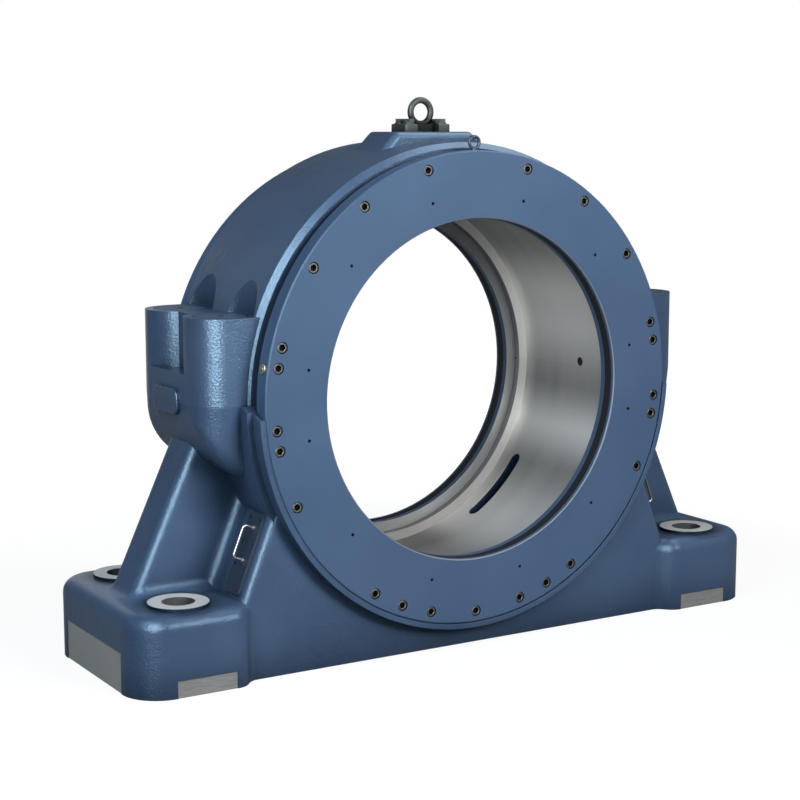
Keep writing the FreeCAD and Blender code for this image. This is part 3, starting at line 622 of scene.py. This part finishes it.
def make_plug_finish():
    material, tree, place = new_finish("plug_disc_paint")
    skin = use_group(tree, cast_skin, Place=place, Pebble=240.0, Patch=4.0)
    paint = blend_colours(tree, skin["Patches"], (0.074, 0.126, 0.228, 1), (0.084, 0.140, 0.250, 1))
    x, y, up = axes_of(tree, place)
    off_centre = diagonal(tree, calc(tree, "SUBTRACT", calc(tree, "ABSOLUTE", x), cap_bolt_x),
                          calc(tree, "SUBTRACT", calc(tree, "ABSOLUTE", y), cap_bolt_y))
    # Painted shadow: a dark band inside the rim seam and round the centre hole.
    seam_shadow = largest(tree, span(tree, off_centre, plug_radius - 0.0085, plug_radius - 0.0060),
                   inside(tree, off_centre, plug_hole_radius, 0.0050, 0.0030))
    return coat(material, {
        "Base Color": blend_colours(tree, seam_shadow, paint, seam_shadow_colour),
        "Roughness": calc(tree, "MULTIPLY_ADD", skin["Patches"], 0.06, 0.40),
        "Normal": bump(tree, skin["Height"], strength=0.15, distance=0.0008)})


plain_steel, plug_disc_paint = make_plain_steel_finish(), make_plug_finish()
for name in nodes:
    if name.startswith(("cap_bolt", "cap_washer", "dowel")):
        give_finish(nodes[name], plain_steel)
    if name.startswith("bolt_plug"):
        give_finish(nodes[name], plug_disc_paint)


# Lifting eye
# A forged plate with a round eye on the crown, held by four hexagon bolts on washers, all in a
# dark grey-green primer. The plate's long sides are set back between the bolt lugs; the primer is
# darkened there and round the root of the eye as painted shade.
lug_inner_end, waist_depth = 0.047, 0.023
waist_corner, cutter_size, cutter_height = 0.012, 0.06, 0.02
shade_half_width, shade_half_length, shade_top, shade_bottom = 0.022, 0.046, 1.990, 1.935
shade_depth = 0.62


def make_primer_finish(name, dark, light, rough):
    material, tree, place = new_finish(name)
    skin = use_group(tree, cast_skin, Place=place, Pebble=180.0, Patch=9.0)
    x, y, up = axes_of(tree, place)
    side, depth = calc(tree, "ABSOLUTE", x), calc(tree, "ABSOLUTE", y)
    # Painted shade: darker in the waist between the lugs, low round the root of the eye, and in
    # creases.
    root = product(tree, span(tree, depth, shade_half_width + 0.008, shade_half_width),
                   span(tree, side, shade_half_length + 0.010, shade_half_length),
                   span(tree, up, shade_top, shade_bottom))
    painted_shade = product(tree, calc(tree, "MULTIPLY_ADD", root, -shade_depth, 1.0),
                   crease_shade(tree, reach=0.06, darkest=0.30))
    paint = blend_colours(tree, skin["Patches"], dark, light)
    return coat(material, {
        "Base Color": blend_colours(tree, 1.0, paint, painted_shade, "MULTIPLY"),
        "Specular IOR Level": calc(tree, "MULTIPLY", painted_shade, 0.5),
        "Metallic": 0.2,
        "Roughness": calc(tree, "MULTIPLY_ADD", skin["Patches"], 0.1, rough),
        "Normal": bump(tree, skin["Height"], strength=0.3, distance=0.0012)})


def waist_cutter(side, low):
    # A block with round upright edges, beside the plate and a little taller than it.
    mesh = bpy.data.meshes.new("eye_waist_cutter")
    work = bmesh.new()
    bmesh.ops.create_cube(work, size=1.0)
    for v in work.verts:
        v.co = (v.co.x * 2 * lug_inner_end, side * (waist_depth + (v.co.y + 0.5) * cutter_size),
                low + cutter_height + v.co.z * cutter_size)
    upright = [e for e in work.edges if abs(e.verts[0].co.z - e.verts[1].co.z) > cutter_size / 2]
    bmesh.ops.bevel(work, geom=upright, offset=waist_corner, segments=8, profile=0.5, affect="EDGES")
    bmesh.ops.recalc_face_normals(work, faces=work.faces)
    work.to_mesh(mesh)
    work.free()
    return add_object("eye_waist_cutter", mesh)


def waisted_eye():
    source = nodes["lifting_eye"]
    mesh = source.data.copy()
    work = bmesh.new()
    work.from_mesh(mesh)
    bmesh.ops.transform(work, matrix=source.matrix_world, verts=work.verts)
    bmesh.ops.remove_doubles(work, verts=work.verts, dist=0.00001)
    work.to_mesh(mesh)
    work.free()
    eye = add_object("waisted_lifting_eye", mesh)
    low = min(v.co.z for v in mesh.vertices)
    cutters = [waist_cutter(side, low) for side in (-1, 1)]
    for cutter in cutters:
        cut = eye.modifiers.new("waist", "BOOLEAN")
        cut.operation, cut.solver, cut.object = "DIFFERENCE", "EXACT", cutter
    made = bpy.data.meshes.new_from_object(eye.evaluated_get(bpy.context.evaluated_depsgraph_get()))
    eye.modifiers.clear()
    eye.data = made
    for cutter in cutters:
        bpy.data.objects.remove(cutter)
    if "custom_normal" in made.attributes:
        made.attributes.remove(made.attributes["custom_normal"])
    for face in made.polygons:
        face.use_smooth = True
    made.set_sharp_from_angle(angle=math.radians(35))
    return eye


eye_primer = make_primer_finish(
    "forged_eye_primer", (0.040, 0.050, 0.050, 1), (0.066, 0.078, 0.076, 1), 0.42)
bolt_primer = make_primer_finish(
    "eye_bolt_primer", (0.055, 0.062, 0.060, 1), (0.095, 0.105, 0.100, 1), 0.38)
lifting_eye = waisted_eye()
give_finish(lifting_eye, eye_primer)
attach(lifting_eye, "root")
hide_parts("lifting_eye")
give_finish(nodes["lifting_eye_bolts"], bolt_primer)
give_finish(nodes["lifting_eye_washers"], bolt_primer)


# Inspection hatches
# Flat steel plates on the leaning walls, painted dark blue, each with a bent stainless handle and
# eight small dark socket screws in two rows.
wall_lean = math.radians(21.8)
hatch_half_thickness = 0.004
hatch_screw_rows, hatch_screw_side = (-0.129, -0.043, 0.043, 0.129), 0.038
hatch_head_radius, hatch_head_height, hatch_head_edge = 0.0058, 0.0032, 0.0006
hatch_socket_flats, hatch_socket_depth = 0.005, 0.0025


def make_handle_finish():
    material, tree, place = new_finish("stainless_wire")
    drawn = noise(tree, stretched(tree, place, 400.0, 400.0, 20.0), 1.0)
    return coat(material, {
        "Base Color": blend_colours(tree, drawn, (0.36, 0.35, 0.34, 1), (0.52, 0.51, 0.49, 1)),
        "Metallic": 1.0,
        "Roughness": calc(tree, "MULTIPLY_ADD", drawn, 0.12, 0.30)})


def make_plate_finish():
    material, tree, place = new_finish("hatch_plate_paint")
    skin = use_group(tree, cast_skin, Place=place, Pebble=200.0, Patch=6.0)
    paint = blend_colours(tree, skin["Patches"], (0.036, 0.051, 0.082, 1), (0.046, 0.066, 0.106, 1))
    return coat(material, {
        "Base Color": paint,
        "Roughness": calc(tree, "MULTIPLY_ADD", skin["Patches"], 0.08, 0.48),
        "Specular IOR Level": 0.25,
        "Specular Tint": paint_sheen,
        "Normal": bump(tree, skin["Height"], strength=0.2, distance=0.0010)})


stainless_wire, hatch_plate_paint = make_handle_finish(), make_plate_finish()
small_screw_steel = make_screw_finish(
    "small_screw_steel", (0.028, 0.027, 0.030, 1), (0.060, 0.056, 0.058, 1))
hatch_pattern = add_object("hatch_screw_pattern", socket_head(
    "hatch_screw_pattern", hatch_head_radius, hatch_socket_flats, hatch_socket_depth, hatch_head_height,
    hatch_head_edge, corners=18))
for name in nodes:
    if name.startswith("hatch_handle"):
        give_finish(nodes[name], stainless_wire)
    if name.startswith("hatch_cover"):
        give_finish(nodes[name], hatch_plate_paint)
        middle = sum((Vector(corner) for corner in nodes[name].bound_box), Vector()) / 8
        side = math.copysign(1.0, middle.x)
        up = Vector((-side * math.sin(wall_lean), 0, math.cos(wall_lean)))
        outward = Vector((side * math.cos(wall_lean), 0, math.sin(wall_lean)))
        top = middle + outward * (hatch_half_thickness + hatch_head_height)
        points = [top + up * row + Vector((0, across, 0)) for row in hatch_screw_rows
                  for across in (-hatch_screw_side, hatch_screw_side)]
        facing = outward.to_track_quat("Z", "X").to_euler()
        screws = grow(name.replace("cover", "screw_heads"), points, screw_tree, hatch_pattern, facing,
                      seed=5, finish=small_screw_steel)
        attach(screws, "root")
bpy.data.objects.remove(hatch_pattern)


# Floor
# A pale matt studio floor that fades into the backdrop. It glows for the camera and, faintly, for
# reflections, so that it stays white in the picture.
floor_half_size = 40.0
floor_grey = (0.16, 0.16, 0.16, 1)
near_edge, far_edge, near_glow, mirror_glow = 1.5, 4.0, 0.90, 0.13


def make_floor():
    mesh = bpy.data.meshes.new("studio_floor")
    work = bmesh.new()
    bmesh.ops.create_grid(work, x_segments=2, y_segments=2, size=floor_half_size)
    work.to_mesh(mesh)
    work.free()
    floor = add_object("studio_floor", mesh)
    material, tree, place = new_finish("pale_floor")
    tree.nodes.remove(tree.nodes["Principled BSDF"])
    matt = tree.nodes.new("ShaderNodeBsdfDiffuse")
    matt.inputs["Color"].default_value = floor_grey
    glow = tree.nodes.new("ShaderNodeEmission")
    path = tree.nodes.new("ShaderNodeLightPath")
    away = tree.nodes.new("ShaderNodeVectorMath")
    away.operation = "LENGTH"
    tree.links.new(place, away.inputs[0])
    seen = product(tree, path.outputs["Is Camera Ray"],
                   span(tree, away.outputs["Value"], near_edge, far_edge, near_glow, 1.0))
    mirrored = calc(tree, "MULTIPLY", path.outputs["Is Glossy Ray"], mirror_glow)
    tree.links.new(calc(tree, "ADD", seen, mirrored), glow.inputs["Strength"])
    together = tree.nodes.new("ShaderNodeAddShader")
    tree.links.new(matt.outputs[0], together.inputs[0])
    tree.links.new(glow.outputs[0], together.inputs[1])
    tree.links.new(together.outputs[0], tree.nodes["Material Output"].inputs["Surface"])
    give_finish(floor, material)


make_floor()


# Light
# A white backdrop that gives a weak cool fill, matt light from the front, left, rear and right, and
# three panels that only glossy surfaces show, for the long soft streaks in the paint and the bore.
fill_low, fill_high = 0.08, 0.16
fill_colour = (0.80, 0.91, 1.0, 1)
neutral, sky_blue, cold_blue = (1.0, 1.0, 1.0), (0.80, 0.92, 1.0), (0.74, 0.88, 1.0)
pale_sheen, bore_sheen, pale_fill = (0.94, 0.98, 1.0), (0.92, 0.96, 1.0), (0.90, 0.96, 1.0)
# Name, place, point aimed at, width, height, watts, spread in degrees, colour, shown in matt, in gloss.
lamps = (
    ("key_softbox", (1.4, -6.6, 3.8), (-0.75, -0.3, 1.55), 3.2, 2.8, 88, 80, neutral, True, True),
    ("left_panel", (-4.6, -3.5, 2.1), (0, 0, 1.5), 1.9, 4.2, 66, 180, sky_blue, True, True),
    ("high_left", (-4.2, -1.7, 5.4), (-0.3, 0, 1.2), 2.0, 1.8, 115, 180, cold_blue, True, True),
    ("sheen_panel", (-4.5, -4.2, 2.95), (-0.9, -0.2, 1.3), 2.7, 5.2, 660, 180, pale_sheen, False, True),
    ("overhead_sheen", (1.9, -0.6, 4.5), (0.1, -0.3, 1.3), 3.0, 3.0, 92, 180, pale_sheen, False, True),
    ("rear_sheen", (-0.45, 3.2, 1.25), (0.5, 0, 1.0), 1.8, 2.3, 8, 180, bore_sheen, False, True),
    ("rear_fill", (2.2, 6.2, 1.3), (0.2, 0, 1.0), 3.2, 2.2, 62, 180, pale_fill, True, False),
    ("right_fill", (6.4, 1.4, 2.2), (0.5, 0, 1.0), 2.4, 2.4, 45, 180, pale_fill, True, False))

world = bpy.data.worlds.new("studio")
bpy.context.scene.world = world
world.use_nodes = True
sky_tree = world.node_tree
backdrop = sky_tree.nodes["Background"]
for_camera = sky_tree.nodes.new("ShaderNodeLightPath").outputs["Is Camera Ray"]
towards_rear = axes_of(sky_tree, sky_tree.nodes.new("ShaderNodeTexCoord").outputs["Generated"])[1]
level = largest(sky_tree, span(sky_tree, towards_rear, 0.1, 0.9, fill_low, fill_high), for_camera)
sky_tree.links.new(level, backdrop.inputs["Strength"])
sky_tree.links.new(blend_colours(sky_tree, for_camera, fill_colour, white), backdrop.inputs["Color"])

for name, place, aim, width, tall, watts, spread, colour, in_matt, in_gloss in lamps:
    lamp = bpy.data.lights.new(name, "AREA")
    lamp.shape, lamp.size, lamp.size_y = "RECTANGLE", width, tall
    lamp.color, lamp.energy, lamp.spread = colour, watts, math.radians(spread)
    holder = add_object(name, lamp)
    holder.location = place
    holder.rotation_euler = (Vector(aim) - Vector(place)).to_track_quat("-Z", "Y").to_euler()
    holder.visible_camera, holder.visible_diffuse, holder.visible_glossy = False, in_matt, in_gloss


# Camera
# A long lens low on the left of the part's front, turned and tilted as the photograph was taken.
camera_place, camera_tilt, camera_turn = (-3.626, -5.783, 1.912), 90 - 8.61, -31.44
camera_data = bpy.data.cameras.new("photo_camera")
camera_data.lens, camera_data.sensor_width, camera_data.clip_end = 80.55, 36.0, 200.0
camera = add_object("photo_camera", camera_data)
camera.location = camera_place
camera.rotation_euler = (math.radians(camera_tilt), 0, math.radians(camera_turn))
bpy.context.scene.camera = camera
bpy.context.scene.view_settings.view_transform = "Standard"
